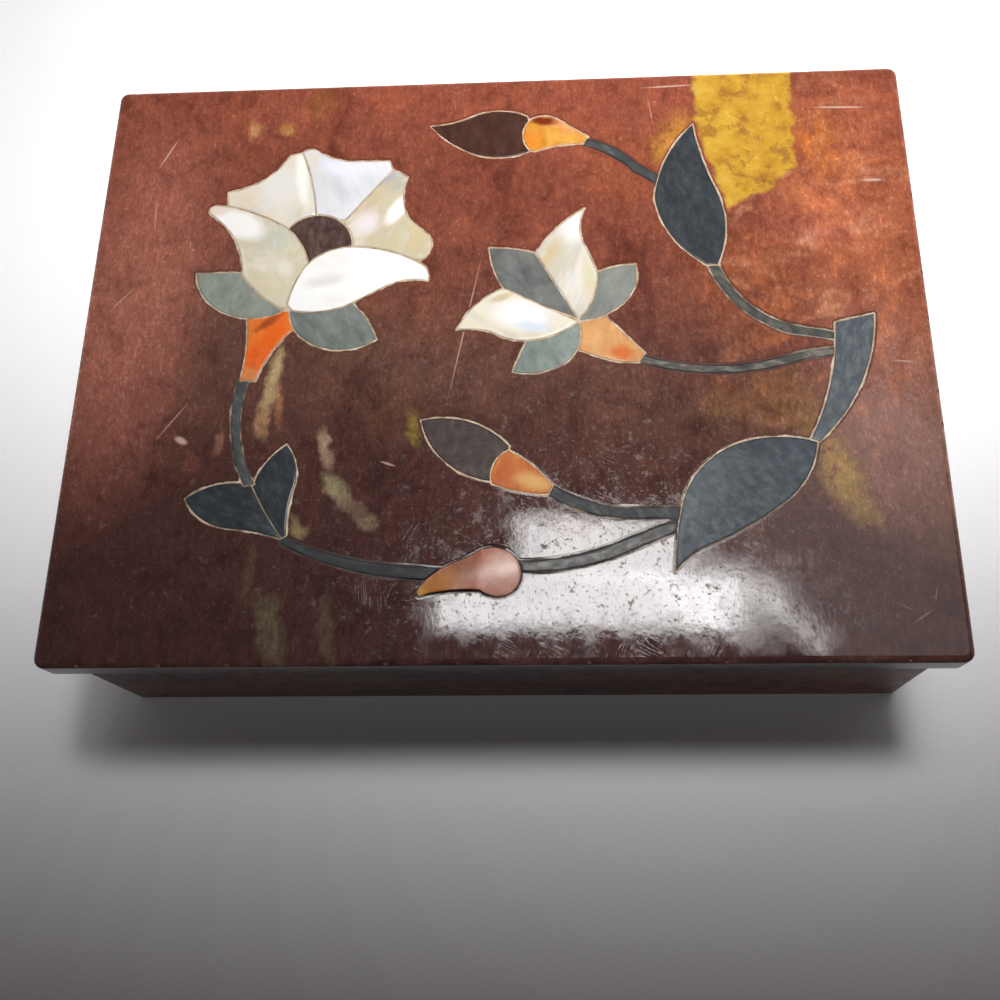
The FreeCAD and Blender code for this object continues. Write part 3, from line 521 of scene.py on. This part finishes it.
# Each slip's material: base, light and dark colour, then stains as place, half size, turn, softness, amount
# and colour
MINERALS = {
    # shell petals; their brightest white stains are painted sheen, the rest are the shell's own colours
    "large_flower_front_petal": mineral("shell_front", (253, 252, 248), turn=70, **{
        **PEARL, "dark": (244, 241, 236), "light": (255, 255, 253),
        "lustre": ((255, 246, 245), (246, 249, 252), 0.3)}, tints=[
        ((-24.0, 10.3), (2.6, 0.9), 12, 0.7, 0.7, (228, 218, 214))]),
    "large_flower_left_petal": mineral("shell_left", (212, 201, 172), turn=30, **PEARL, tints=[
        ((-31.6, 17.6), (3.0, 2.2), 20, 0.7, 0.7, (196, 198, 182)),
        # painted sheen: the bright white patch
        ((-37.0, 19.9), (4.0, 2.1), -24, 0.35, 1.0, (250, 247, 243)),
        ((-40.2, 22.4), (1.3, 0.8), -20, 0.6, 0.7, (236, 216, 198)),
        ((-30.5, 9.0), (2.4, 3.0), 30, 0.7, 0.5, (220, 206, 176))]),
    "large_flower_back_left_petal": mineral("shell_back_left", (226, 217, 199), turn=-30, **PEARL, tints=[
        ((-30.8, 25.8), (2.8, 3.4), -20, 0.6, 0.8, (233, 231, 226)),
        # painted sheen: the bright streak along the right seam
        ((-28.3, 27.6), (0.9, 4.6), 8, 0.5, 0.95, (252, 248, 238)),
        ((-37.0, 24.4), (1.6, 2.0), 0, 0.7, 0.6, (230, 210, 184))]),
    "large_flower_back_petal": mineral("shell_back", (226, 226, 231), turn=15, **{
        **PEARL, "dark": (206, 210, 214), "light": (242, 241, 246)}, tints=[
        # painted highlight: the white-lavender patch at the top
        ((-22.4, 29.0), (4.2, 1.3), -6, 0.6, 0.8, (240, 238, 253)),
        ((-25.6, 26.0), (1.6, 4.5), 12, 0.7, 0.5, (214, 216, 212)),
        ((-26.9, 30.6), (0.9, 1.6), 0, 0.6, 0.6, (226, 212, 184))]),
    "large_flower_right_petal": mineral("shell_right", (208, 195, 164), turn=-50, **PEARL, tints=[
        ((-15.4, 26.6), (1.7, 1.5), -40, 0.6, 0.9, (170, 178, 186)),
        ((-12.4, 16.8), (2.6, 2.0), 30, 0.6, 0.8, (212, 194, 150)),
        ((-18.8, 19.4), (2.0, 1.6), 45, 0.6, 0.9, (240, 233, 234)),
        # painted sheen: the bright white patch in the middle right
        ((-14.4, 21.6), (1.1, 2.6), -30, 0.4, 1.0, (253, 251, 246)),
        ((-17.4, 24.0), (0.9, 4.2), -46, 0.5, 0.8, (208, 189, 152))]),
    "small_flower_top_petal": mineral("shell_top", (210, 204, 189), turn=-20, **PEARL, tints=[
        # painted sheen: the bright white patch
        ((10.4, 18.0), (1.8, 2.4), -20, 0.6, 0.8, (246, 242, 239)),
        ((6.6, 13.2), (0.8, 2.8), -32, 0.6, 0.8, (212, 186, 140)),
        ((12.4, 9.0), (0.7, 4.0), 10, 0.6, 0.75, (216, 206, 158))]),
    "small_flower_left_petal": mineral("shell_small_left", (234, 226, 205), turn=65, **PEARL, tints=[
        # painted sheen: the bright white patch
        ((3.2, 4.2), (3.8, 2.1), -12, 0.5, 0.9, (252, 251, 252)),
        ((4.6, 2.4), (2.2, 0.7), -8, 0.6, 0.7, (210, 224, 238)),
        ((0.4, 7.0), (1.4, 0.5), 20, 0.6, 0.8, (204, 180, 134)),
        ((-4.0, 2.6), (1.6, 1.0), 0, 0.6, 0.6, (236, 222, 186))]),
    # grey-green sepals
    "large_flower_left_sepal": mineral("sepal_left", (136, 142, 131), (154, 160, 149), (116, 124, 116),
                                       **SEPAL),
    "large_flower_right_sepal": mineral("sepal_right", (116, 123, 117), (142, 148, 139), (94, 101, 97),
                                        turn=40, **SEPAL),
    "small_flower_back_sepal": mineral("sepal_back", (106, 108, 105), (128, 130, 126), (78, 81, 81),
                                       turn=30, **{**SEPAL, "grain": 1.8}),
    "small_flower_right_sepal": mineral("sepal_small_right", (130, 134, 126), (148, 152, 142),
                                        (110, 115, 108), turn=-30, **SEPAL),
    "small_flower_low_sepal": mineral("sepal_low", (126, 138, 130), (150, 159, 150), (104, 115, 109),
                                      turn=20, **SEPAL),
    # brown heart and bud leaves
    "large_flower_heart": mineral("brown_heart", (78, 56, 51), (108, 84, 76), (54, 37, 35), grain=0.7),
    "top_bud_leaf": mineral("brown_top", (70, 42, 32), (84, 54, 43), (56, 33, 25), grain=1.6),
    "side_bud_leaf": mineral("brown_side", (60, 47, 43), (86, 72, 66), (44, 33, 31), grain=1.0, lines=0.5,
                             polish=(0.4, 0.5)),
    # orange calyxes and the bud
    "large_flower_calyx": mineral("orange_large", (226, 102, 30), (240, 132, 48), (190, 72, 20),
                                  grain=2.4, tints=[
        ((-30.8, 1.6), (1.2, 3.4), -34, 0.6, 0.8, (228, 96, 22)),
        ((-31.4, 3.8), (2.1, 0.5), 37, 0.6, 0.85, (146, 58, 24)),
        ((-34.2, 2.6), (0.8, 2.8), 0, 0.6, 0.8, (190, 116, 62)),
        ((-33.3, -4.2), (1.3, 1.2), 0, 0.6, 0.7, (206, 138, 84))]),
    "top_bud_calyx": mineral("orange_top", (208, 138, 50), (226, 170, 80), (190, 104, 32), grain=2.2, tints=[
        ((4.6, 32.6), (1.2, 1.8), 0, 0.6, 0.7, (226, 136, 40)),
        ((9.0, 33.2), (2.4, 1.0), -10, 0.6, 0.7, (228, 172, 78)),
        ((9.2, 35.2), (2.2, 0.9), -28, 0.6, 0.7, (226, 160, 104)),
        ((6.2, 36.2), (1.8, 0.7), -6, 0.5, 0.95, (112, 24, 6))]),
    "small_flower_calyx": mineral("orange_small", (210, 152, 92), (228, 178, 122), (194, 118, 56),
                                  grain=2.2, tints=[
        ((16.4, -1.9), (1.7, 1.0), -10, 0.6, 0.9, (212, 102, 36)),
        ((12.6, 0.8), (1.6, 1.6), 0, 0.7, 0.6, (230, 178, 118)),
        ((18.4, -2.4), (1.0, 0.9), 0, 0.6, 0.6, (196, 132, 70))]),
    "side_bud_calyx": mineral("orange_side", (196, 108, 40), (222, 146, 74), (166, 78, 26), grain=2.0,
                              polish=(0.4, 0.5), tints=[
        ((4.8, -20.2), (2.4, 1.0), -18, 0.6, 0.9, (218, 168, 98)),
        ((1.2, -18.6), (1.2, 2.0), -30, 0.6, 0.8, (184, 86, 28))]),
    "low_bud": mineral("bud_agate", (170, 106, 82), (214, 166, 148), (120, 66, 50), grain=1.8, tints=[
        ((0.9, -32.3), (2.7, 3.0), 0, 0.4, 0.95, (196, 150, 136)),
        # painted highlight: the lighter spot on top of the domed head
        ((1.4, -31.4), (1.4, 1.4), 0, 0.7, 0.6, (214, 176, 160)),
        ((-4.2, -32.0), (2.0, 1.8), 20, 0.6, 0.8, (128, 74, 54)),
        ((-7.4, -34.0), (3.2, 1.4), 26, 0.6, 0.95, (170, 110, 52)),
        ((-9.2, -34.8), (0.9, 0.8), 30, 0.6, 0.8, (206, 152, 84))]),
    # slate leaves and branch
    "tall_leaf": mineral("slate_tall", *SLATE_DARK, turn=10, **SLATE),
    "twin_leaf_left": mineral("slate_twin_left", (48, 54, 58), (68, 74, 77), (35, 40, 44), turn=60, **SLATE),
    "twin_leaf_right": mineral("slate_twin_right", (47, 53, 57), (66, 72, 75), (34, 39, 43), turn=20,
                               **SLATE),
    "broad_leaf": mineral("slate_broad", (56, 64, 72), (78, 86, 92), (44, 51, 58), turn=50,
                          **{**SLATE, "polish": (0.34, 0.5)}, tints=[
        ((37.0, -11.5), (6.0, 3.0), 20, 0.9, 0.6, (44, 51, 60)),
        # painted reflection: the lighter grey at the leaf's lower left, where the bright patch lies
        ((23.0, -23.0), (4.0, 7.0), -45, 0.9, 0.6, (88, 99, 102)),
        ((34.0, -16.4), (1.4, 0.5), 10, 0.6, 0.5, (40, 42, 46))]),
    "main_branch": mineral("slate_branch", (88, 94, 100), (112, 117, 120), (70, 77, 83), turn=-15, **SLATE),
    # stems, each a little different
    "low_bud_left_stem": mineral("stem_low_left", (44, 47, 49), (68, 71, 72), (30, 32, 34), turn=75, **STEMS),
    "low_bud_right_stem": mineral("stem_low_right", (84, 83, 81), (124, 122, 117), (46, 46, 46), turn=-70,
                                  **{**STEMS, "polish": (0.28, 0.5)}),
    # the light tone is raised to stand for the highlight along this stem: partly painted highlight
    "small_flower_stem": mineral("stem_small", (88, 85, 80), (148, 142, 130), (40, 40, 39), turn=85, **STEMS),
    "tall_leaf_stem": mineral("stem_tall", (70, 72, 68), (112, 110, 100), (42, 44, 44), turn=40, **STEMS),
}
STEM = mineral("slate_stem", *SLATE_STEM, turn=40, **STEMS)
LID_STONE = lid_stone("lid_stone", True)
LID_UNDERSIDE = lid_stone("lid_underside", False)
WALL_STONE = base_stone("wall_stone", 0.9, 0.3)
FLOOR_STONE = base_stone("floor_stone", 0.92, 0.5)
CHIPPED = chip_stone()
CEMENT = cement_paste()
BRASS = aged_brass()


# Pieces. Each one is cut from its node's own outline or mesh, stands for that node and rides on its body.
def shaped(mesh, *steps):
    """The mesh after some modifiers, each given as (kind, settings)."""
    holder = bpy.data.objects.new("shaping", mesh)
    bpy.context.scene.collection.objects.link(holder)
    for kind, settings in steps:
        modifier = holder.modifiers.new(kind, kind)
        for key, value in settings.items():
            setattr(modifier, key, value)
    ready = holder.evaluated_get(bpy.context.evaluated_depsgraph_get())
    result = bpy.data.meshes.new_from_object(ready)
    bpy.data.objects.remove(holder)
    return result


def dressed(node, mesh, *materials):
    """Put a finished mesh in the scene in place of its node."""
    for material in materials:
        mesh.materials.append(material)
    mesh.shade_smooth()
    mesh.set_sharp_from_angle(angle=math.radians(38))
    mesh = shaped(mesh, ("WEIGHTED_NORMAL", dict(mode="FACE_AREA", weight=50, keep_sharp=True)))
    mesh.name = f"{node}_dressed"
    piece = bpy.data.objects.new(f"{node}_dressed", mesh)
    bpy.context.scene.collection.objects.link(piece)
    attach(piece, NODES[node]["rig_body"])
    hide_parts(node)
    return piece


def outline_of(node):
    """The outline of a node's flat foot, anticlockwise, in millimetres."""
    mesh = NODES[node].data
    points = [tuple(round(c / MM, 4) for c in v.co) for v in mesh.vertices]
    foot = min(z for x, y, z in points)
    ways = {}
    for face in mesh.polygons:
        corners = [points[i] for i in face.vertices]
        if max(z for x, y, z in corners) - foot < 0.002:
            for a, b in zip(corners, corners[1:] + corners[:1]):
                ways[(a[:2], b[:2])] = True
    onward = {a: b for (a, b) in ways if (b, a) not in ways}
    start = min(onward)
    loop = [start]
    while onward[loop[-1]] != start:
        loop.append(onward[loop[-1]])
    loop = np.array(loop)
    ahead = np.roll(loop, -1, axis=0)
    area = np.sum(loop[:, 0] * ahead[:, 1] - ahead[:, 0] * loop[:, 1])
    return loop if area > 0 else loop[::-1]


def divided(loop, step):
    """The outline with its longer runs divided."""
    points = []
    for a, b in zip(loop, np.roll(loop, -1, axis=0)):
        parts = max(1, math.ceil(np.linalg.norm(b - a) / step))
        points += [a + (b - a) * i / parts for i in range(parts)]
    return np.array(points)


def depth_inside(points, loop):
    """How far each point lies inside an outline; negative outside it."""
    a = loop
    b = np.roll(loop, -1, axis=0)
    run = b - a
    to_point = points[:, None, :] - a[None]
    along = np.clip((to_point * run).sum(-1) / (run * run).sum(-1), 0, 1)
    near = np.linalg.norm(to_point - along[..., None] * run, axis=-1).min(1)
    above = (a[:, 1] > points[:, None, 1]) != (b[:, 1] > points[:, None, 1])
    rise = np.where(run[:, 1] == 0, 1e-9, run[:, 1])
    crossing = a[:, 0] + (points[:, None, 1] - a[:, 1]) / rise * run[:, 0]
    odd = (above & (points[:, None, 0] < crossing)).sum(1) % 2 == 1
    return np.where(odd, near, -near)


# a slip's outline points lie at most this far apart; its face ripples, but not near its edge
OUTLINE_STEP = 0.45
RIPPLE_LENGTH = 2.2
RIPPLE_MARGIN = 0.6


def slip(node, ease=0.12, pitch=0.6, crown=0.0, waves=0.02, height=None):
    """A slip of inlay with eased edges and a slightly uneven face."""
    loop = divided(outline_of(node), OUTLINE_STEP)
    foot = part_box(node)[0].z / MM
    top = LID_TOP / MM
    low, high = loop.min(0), loop.max(0)
    ahead = np.roll(loop, -1, axis=0) - np.roll(loop, 1, axis=0)
    inward = np.stack([-ahead[:, 1], ahead[:, 0]], 1) / np.linalg.norm(ahead, axis=1)[:, None]
    rings = []
    for reach in (0.3 * ease, ease, 2.4 * ease):
        ring = loop + inward * reach
        rings.append(ring[depth_inside(ring, loop) > 0.85 * reach])
    columns = np.arange(low[0], high[0], pitch)
    rows = np.arange(low[1], high[1], pitch * 0.866)
    grid = np.array([(x + (i % 2) * pitch / 2, y) for i, y in enumerate(rows) for x in columns])
    rings.append(grid[depth_inside(grid, loop) > 4.0 * ease])
    points = np.concatenate([loop] + rings)
    count = len(loop)
    rim = [(i, (i + 1) % count) for i in range(count)]
    flat, _, faces, sources, _, _ = delaunay_2d_cdt([Vector(p) for p in points], rim, [], 1, 1e-5)
    flat = np.array([tuple(p) for p in flat])
    depth = np.clip(depth_inside(flat, loop), 0, None)
    widest = depth.max()
    verts = []
    for (x, y), d in zip(flat, depth):
        edge = min(d / ease, 1.0)
        swell = crown * (1 - (1 - min(d / widest, 1.0)) ** 2)
        wave = noise.noise(Vector((x / RIPPLE_LENGTH, y / RIPPLE_LENGTH, 7.0)))
        ripple = waves * wave * min(d / RIPPLE_MARGIN, 1.0)
        z = height(x, y) if height else top
        verts.append((x, y, z - ease * (1 - math.sqrt(1 - (1 - edge) ** 2)) + swell + ripple))
    place = {origin: i for i, origins in enumerate(sources) for origin in origins}
    upper = [place[i] for i in range(count)]
    lower = [len(verts) + i for i in range(count)]
    verts += [(flat[i][0], flat[i][1], foot) for i in upper]
    polygons = [list(face) for face in faces]
    for i in range(count):
        j = (i + 1) % count
        polygons.append([upper[i], lower[i], lower[j], upper[j]])
    polygons.append(lower[::-1])
    mesh = bpy.data.meshes.new(f"{node}_slip")
    mesh.from_pydata([Vector(v) * MM for v in verts], [], polygons)
    work = bmesh.new()
    work.from_mesh(mesh)
    bmesh.ops.recalc_face_normals(work, faces=work.faces)
    work.to_mesh(mesh)
    work.free()
    return mesh


def welded(node):
    """A node's own mesh with its split corners joined."""
    mesh = bpy.data.meshes.new(f"{node}_welded")
    work = bmesh.new()
    work.from_mesh(NODES[node].data)
    bmesh.ops.remove_doubles(work, verts=work.verts, dist=2e-6)
    work.to_mesh(mesh)
    work.free()
    mesh.materials.clear()
    for name in ("custom_normal", "sharp_edge", "sharp_face"):
        if name in mesh.attributes:
            mesh.attributes.remove(mesh.attributes[name])
    return mesh


def eased(mesh, width_mm, segments=2):
    """The mesh with its sharp edges rounded over."""
    return shaped(mesh, ("BEVEL", dict(width=width_mm * MM, segments=segments, limit_method="ANGLE",
                                       angle_limit=math.radians(50), harden_normals=False)))


def chipped(mesh, spots):
    """The mesh with small angular bites out of its edges, each given as (place, radius) in millimetres."""
    work = bmesh.new()
    for number, (place, radius) in enumerate(spots):
        lump = bmesh.ops.create_icosphere(work, subdivisions=2, radius=radius * MM)
        for v in lump["verts"]:
            way = v.co.normalized()
            v.co *= 1 + 0.45 * noise.noise(way * 1.7 + Vector((number * 3.7, 0, 0)))
            v.co += Vector(place) * MM
    lumps = bpy.data.meshes.new("chip_lumps")
    work.to_mesh(lumps)
    work.free()
    lumps.materials.append(CHIPPED)
    tool = bpy.data.objects.new("chip_lumps", lumps)
    bpy.context.scene.collection.objects.link(tool)
    result = shaped(mesh, ("BOOLEAN", dict(operation="DIFFERENCE", object=tool, solver="EXACT",
                                           material_mode="TRANSFER")))
    bpy.data.objects.remove(tool)
    return result


def along_rim(half_x, half_y, z, count, sizes, bite, seed):
    """Chip places spaced irregularly along the rim of a flat rectangle, as (place, radius)."""
    dice = random.Random(seed)
    round_length = 4 * (half_x + half_y)
    spots = []
    for i in range(count):
        t = (i + 0.15 + 0.7 * dice.random()) / count * round_length
        radius = sizes[0] + (sizes[1] - sizes[0]) * dice.random() ** 2.5
        out = radius * (1 - bite)
        across = t
        for side, run in enumerate((2 * half_x, 2 * half_y, 2 * half_x, 2 * half_y)):
            if across < run:
                break
            across -= run
        x, y = ((across - half_x, -half_y - out), (half_x + out, across - half_y),
                (half_x - across, half_y + out), (-half_x - out, half_y - across))[side]
        spots.append(((x, y, z + out), radius))
    return spots


# the raised bud's middle, and half the length, half the width, the height and the turn of its dome
BUD_X = -2.6 / STEPS.x
BUD_Y = -32.5 / STEPS.y
DOME_LENGTH, DOME_WIDTH, DOME_HEIGHT = 12.0, 5.5, 2.4
DOME_TURN = math.radians(14.0)


def domed(x, y):
    """The raised bud's face: the top of an ellipsoid that lies along the bud."""
    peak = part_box("low_bud")[1].z / MM
    dx = x - BUD_X
    dy = y - BUD_Y
    u = (dx * math.cos(DOME_TURN) + dy * math.sin(DOME_TURN)) / DOME_LENGTH
    v = (dy * math.cos(DOME_TURN) - dx * math.sin(DOME_TURN)) / DOME_WIDTH
    return peak - DOME_HEIGHT + DOME_HEIGHT * math.sqrt(max(0.0, 1 - u * u - v * v))


inlay = [n for n in NODES if SLOTS[n] in ("pearl", "sepal_stone", "brown_stone", "orange_stone", "slate")]
for node in inlay:
    material = MINERALS.get(node, STEM)
    if node == "low_bud":
        dressed(node, slip(node, ease=0.16, pitch=0.45, waves=0.0, height=domed), material)
    elif SLOTS[node] == "pearl":
        dressed(node, slip(node, ease=0.14, crown=0.06, waves=0.05), material)
    else:
        dressed(node, slip(node), material)


def paleness(node):
    """How pale the cement beside a piece is: dark along the stems, dark round the bud as painted shade of the
    raised bud, palest round the leaves.
    """
    # the bud's low value paints the shade round the raised bud
    own = dict(tall_leaf_stem=0.45, large_flower_stem=0.4, side_bud_stem=0.3, low_bud=0.12,
               twin_leaf_left=0.55, twin_leaf_right=0.85, broad_leaf=0.7)
    kind = dict(pearl=0.75, sepal_stone=0.65, brown_stone=1.0, orange_stone=0.75, slate=0.95)
    return own.get(node, 0.12 if node.endswith("stem") else kind[SLOTS[node]])


# Cement. Its points know how far out they lie, from 0 beside a piece to 1 at the stone, and how pale the
# cement is there. Its face is rough and lies a little below the pieces, and deeper round the bud.
CEMENT_LINE = 0.4
CEMENT_DROP = 0.06
CEMENT_ROUGHNESS = 0.03
BUD_DROP = 0.26
BUD_REACH_X = 8.5
BUD_REACH_Y = 4.0
paste = welded("setting_cement")
points = np.array([v.co[:2] for v in paste.vertices]) / MM
gaps = np.array([np.abs(depth_inside(points, outline_of(n))) for n in inlay])
outward = np.clip(gaps.min(axis=0) / CEMENT_LINE, 0, 1)
pale = np.array([paleness(n) for n in inlay])[gaps.argmin(axis=0)]
for name, values in (("out", outward), ("pale", pale)):
    paste.attributes.new(name, "FLOAT", "POINT").data.foreach_set("value", values)
for v in paste.vertices:
    if v.co.z > LID_TOP - 1e-6:
        from_bud = Vector(((v.co.x / MM - BUD_X) / BUD_REACH_X, (v.co.y / MM - BUD_Y) / BUD_REACH_Y))
        rough = noise.noise(Vector((v.co.x, v.co.y, 0)) / MM * 1.3)
        drop = BUD_DROP if from_bud.length < 1 else CEMENT_DROP + CEMENT_ROUGHNESS * rough
        v.co.z -= drop * MM
dressed("setting_cement", paste, CEMENT)

# Lid, with chips along its upper rim and the duller stone on its faces that look down
RIM_INSET = 0.35
lid = welded("lid_slab")
lid.materials.append(LID_STONE)
lid = chipped(lid, along_rim(HALF_X - RIM_INSET, HALF_Y - RIM_INSET, LID_TOP / MM - RIM_INSET, count=44,
                             sizes=(0.2, 0.6), bite=0.34, seed=5))
lid.materials.append(LID_UNDERSIDE)
for polygon in lid.polygons:
    if polygon.normal.z < -0.5 and polygon.center.z < LID_LOW.z + 2 * MM:
        polygon.material_index = len(lid.materials) - 1
dressed("lid_slab", lid)

# Base and brass
for node in ("front_wall", "back_wall", "left_wall", "right_wall"):
    dressed(node, eased(welded(node), 0.22), WALL_STONE)
dressed("floor_slab", eased(welded("floor_slab"), 0.2), FLOOR_STONE)

for node in [n for n in NODES if SLOTS[n] == "brass"]:
    dressed(node, eased(welded(node), 0.06), BRASS)


# Stage: a pale floor with a painted shadow in front of the box and painted light towards the back, soft light
# from behind and above, and the camera
FLOOR_HALF = 2
FLOOR_CORNERS = [(-FLOOR_HALF, -FLOOR_HALF, 0), (FLOOR_HALF, -FLOOR_HALF, 0),
                 (FLOOR_HALF, FLOOR_HALF, 0), (-FLOOR_HALF, FLOOR_HALF, 0)]
# the floor's colours run from this far in front of the middle, over this length
RAMP_FRONT = 400
RAMP_LENGTH = 500
floor_mesh = bpy.data.meshes.new("floor")
floor_mesh.from_pydata(FLOOR_CORNERS, [], [(0, 1, 2, 3)])
floor = bpy.data.objects.new("floor", floor_mesh)
bpy.context.scene.collection.objects.link(floor)
ground = Shader("pale_floor")
away = ground.vector("DOT_PRODUCT", ground.mm, (0.0, 1.0, 0.0))
along = ground.math("MULTIPLY_ADD", away, 1 / RAMP_LENGTH, RAMP_FRONT / RAMP_LENGTH, clamp=True)
# painted shadow: the dark band in front of the box; painted light: the floor grows lighter towards the back
ground.set("Base Color", ground.ramp(along, (0.0, srgb(232, 231, 232)), (0.3, srgb(212, 210, 212)),
                                     (0.57, srgb(86, 78, 78)), (0.605, srgb(96, 88, 88)),
                                     (0.69, srgb(206, 204, 207)), (0.76, srgb(240, 239, 241)),
                                     (0.9, srgb(252, 252, 252))))
path = ground.nodes.new("ShaderNodeLightPath")
seen = ground.math("MAXIMUM", path.outputs["Is Camera Ray"], path.outputs["Is Glossy Ray"])
seen = ground.math("MAXIMUM", seen, path.outputs["Is Transmission Ray"])
ground.surface.inputs["Emission Color"].default_value = (1.0, 1.0, 1.0, 1.0)
# painted light: for camera and glossy rays the floor glows more towards the back
ground.set("Emission Strength", ground.math("MULTIPLY", seen, ground.remap(away, -60.0, 40.0, 0.0, 0.35)))
ground.surface.inputs["Roughness"].default_value = 0.6
ground.set("Normal", ground.bump(ground.noise(0.9, 4.0, 0.6), 0.12, 0.6))
floor_mesh.materials.append(ground.material)

world = bpy.data.worlds.new("soft_room")
world.use_nodes = True
sky = world.node_tree.nodes
way = sky.new("ShaderNodeTexCoord")
level = sky.new("ShaderNodeSeparateXYZ")
world.node_tree.links.new(way.outputs["Generated"], level.inputs[0])
strength = sky.new("ShaderNodeMath")
strength.operation = "MULTIPLY"
# the room is brighter behind the box than in front of it, and dimmer overhead
room = (("Y", -0.6, 1.0, 0.065, 0.56), ("Z", 0.25, 0.75, 1.0, 0.3))
for socket, (axis, low, high, to_low, to_high) in zip(strength.inputs, room):
    fade = sky.new("ShaderNodeMapRange")
    fade.inputs["From Min"].default_value = low
    fade.inputs["From Max"].default_value = high
    fade.inputs["To Min"].default_value = to_low
    fade.inputs["To Max"].default_value = to_high
    world.node_tree.links.new(level.outputs[axis], fade.inputs["Value"])
    world.node_tree.links.new(fade.outputs[0], socket)
world.node_tree.links.new(strength.outputs[0], sky["Background"].inputs["Strength"])
sky["Background"].inputs["Color"].default_value = (1.0, 0.93, 0.94, 1.0)
bpy.context.scene.world = world


def lamp(name, place_mm, aim_mm, size_mm, watts):
    """A soft rectangular panel at a place, turned to what it lights."""
    light = bpy.data.lights.new(name, "AREA")
    light.shape = "RECTANGLE"
    light.size, light.size_y = (side * MM for side in size_mm)
    light.energy = watts
    holder = bpy.data.objects.new(name, light)
    holder.location = Vector(place_mm) * MM
    holder.rotation_euler = (Vector(aim_mm) - Vector(place_mm)).to_track_quat("-Z", "Y").to_euler()
    bpy.context.scene.collection.objects.link(holder)
    return holder


# Overhead panels mirror in the lid as the bright patch near its front, and the wash lights its back
BRIGHT_PATCH = (14, -31, 31)
lamp("softbox_low", (14, 118.5, 631), BRIGHT_PATCH, (206, 35), 0.43)
lamp("softbox_tail", (148, 108, 631), BRIGHT_PATCH, (64, 12), 0.026)
lamp("softbox_high", (23, 157, 631), BRIGHT_PATCH, (112, 42), 0.27)
lamp("softbox_fade", (108, 126, 640), (25, -31, 31), (76, 50), 0.06)
lamp("softbox_side", (235, 150, 650), (40, -20, 31), (210, 160), 0.1)
wash = lamp("wash", (60, 70, 430), (20, 55, 31), (90, 76), 0.097)
wash.data.spread = math.radians(40)
wash.visible_glossy = False

# the camera was fitted to the lid's corners and the base's foot in the photograph; its place is measured
# from the middle of the lid's top
EYE_MM = Vector((10.764, -69.903, 132.494))
camera = bpy.data.cameras.new("camera")
camera.sensor_width = 36.0
camera.lens = 40.204
camera.shift_x = -0.0231
camera.shift_y = -0.008
camera.clip_start = 0.005
eye = bpy.data.objects.new("camera", camera)
forward = Vector((-0.05172, 0.34428, -0.93744)).normalized()
upward = Vector((0.01464, 0.93885, 0.34399))
right = forward.cross(upward).normalized()
upward = right.cross(forward)
turn = Matrix((right, upward, -forward)).transposed().to_4x4()
eye.matrix_world = Matrix.Translation(EYE_MM * MM + Vector((0, 0, LID_TOP))) @ turn
bpy.context.scene.collection.objects.link(eye)
bpy.context.scene.camera = eye
bpy.context.scene.view_settings.view_transform = "Standard"
